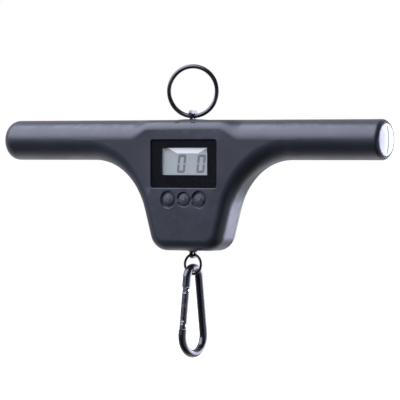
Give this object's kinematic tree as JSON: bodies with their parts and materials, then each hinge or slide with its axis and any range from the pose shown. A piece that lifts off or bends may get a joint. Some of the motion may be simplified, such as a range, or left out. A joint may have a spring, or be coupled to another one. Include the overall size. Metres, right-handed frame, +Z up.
{
  "type": "hanging scale",
  "caption": "Hand-held digital fish scale: a round bar handle over a display body, with a hanging ring on top and a swivelling snap hook below.",
  "frame": {"origin": "where the hanging ring bears on the hook that it hangs from, at the top of the ring's inside", "axes": "+X along the bar handle towards the battery cap, +Y from the display to the back, +Z up along the load line"},
  "size_m": [0.3023, 0.0314, 0.2056],
  "materials": {
    "housing_plastic": "soft-touch dark slate",
    "button_rubber": "moulded, finely grained",
    "keypad_silicone": "translucent grey silicone",
    "clear_window": "glossy tinted window",
    "black_print": "black printed border",
    "lcd": "grey-green liquid crystal cell",
    "white_plastic": "white, lightly glossy",
    "inner_plastic": "black",
    "light_plastic": "milky diffuser",
    "board": "green solder mask",
    "component": "black moulded components",
    "seal_rubber": "black",
    "black_steel": "black finished steel wire and plate",
    "bright_steel": "nickel plated steel",
    "fastener": "zinc plated steel",
    "brass_contact": "plated contact",
    "cell_metal": "machined",
    "black_hook": "black anodised aluminium",
    "battery_can": "plain battery jacket",
    "wire_jacket": "PVC insulation"
  },
  "bodies": {
    "housing": {"front_shell": "housing_plastic", "rear_shell": "housing_plastic", "shell_screws": "fastener", "display_window": "clear_window", "window_mask": "black_print", "lcd_glass": "lcd", "lcd_frame": "inner_plastic", "backlight_panel": "light_plastic", "zebra_strip": "seal_rubber", "circuit_board": "board", "processor_chip": "component", "board_parts": "component", "tact_switches": "component", "board_screws": "fastener", "keypad_web": "keypad_silicone", "top_hanger": "black_steel", "hanger_pin": "bright_steel", "load_cell": "cell_metal", "load_cell_bolt": "fastener", "strain_gauges": "component", "shank_bush": "inner_plastic", "thrust_washer": "bright_steel", "battery_tube": "inner_plastic", "battery_cells": "battery_can", "battery_spring": "fastener", "battery_wires": "wire_jacket", "gauge_wires": "wire_jacket"},
    "left_button": {"button_left": "button_rubber"},
    "middle_button": {"button_middle": "button_rubber"},
    "right_button": {"button_right": "button_rubber"},
    "hanging_ring": {"top_ring": "black_steel"},
    "swivel": {"hook_shank": "black_steel", "shank_nut": "bright_steel"},
    "small_ring": {"lower_ring": "black_steel"},
    "snap_hook": {"carabiner_body": "black_hook", "latch_pin": "fastener", "gate_pin": "fastener"},
    "gate": {"carabiner_gate": "black_hook", "gate_spring": "fastener"},
    "cap_carrier": {"cap_seal": "seal_rubber"},
    "cap": {"battery_cap": "white_plastic", "cap_contact": "brass_contact"}
  },
  "joints": [
    {"name": "left_press", "type": "slide", "parent": "housing", "child": "left_button", "axis": [0, 1, 0], "range_m": [0, 0.0008], "stiffness_N_per_m": 900, "springref_m": -0.0004},
    {"name": "middle_press", "type": "slide", "parent": "housing", "child": "middle_button", "axis": [0, 1, 0], "range_m": [0, 0.0008], "stiffness_N_per_m": 900, "springref_m": -0.0004},
    {"name": "right_press", "type": "slide", "parent": "housing", "child": "right_button", "axis": [0, 1, 0], "range_m": [0, 0.0008], "stiffness_N_per_m": 900, "springref_m": -0.0004},
    {"name": "ring_swing", "type": "hinge", "parent": "housing", "child": "hanging_ring", "pos_m": [0, 0, -0.0333], "axis": [0.9744, 0.225, 0], "range_deg": [-90, 90]},
    {"name": "hook_swivel", "type": "hinge", "parent": "housing", "child": "swivel", "pos_m": [0, 0, -0.1302], "axis": [0, 0, 1], "continuous": true},
    {"name": "small_ring_swing", "type": "hinge", "parent": "swivel", "child": "small_ring", "pos_m": [0, 0, -0.1302], "axis": [0.9945, -0.1045, 0], "range_deg": [-40, 40]},
    {"name": "hook_swing", "type": "hinge", "parent": "small_ring", "child": "snap_hook", "pos_m": [0, 0, -0.1394], "axis": [0.1045, 0.9945, 0], "range_deg": [-60, 60]},
    {"name": "gate_open", "type": "hinge", "parent": "snap_hook", "child": "gate", "pos_m": [-0.00125, -0.01192, -0.1794], "axis": [-0.9945, 0.1045, 0], "range_deg": [0, 21], "stiffness_Nm_per_rad": 0.05, "springref_deg": -17.19},
    {"name": "cap_travel", "type": "slide", "parent": "housing", "child": "cap_carrier", "axis": [1, 0, 0], "range_m": [0, 0.003]},
    {"name": "cap_turn", "type": "hinge", "parent": "cap_carrier", "child": "cap", "pos_m": [0.1495, 0, -0.05], "axis": [1, 0, 0], "range_deg": [0, 541]}
  ],
  "couplings": [
    {"joint": "cap_turn", "follows": "cap_travel", "rad_per_m": 3141.6}
  ]
}
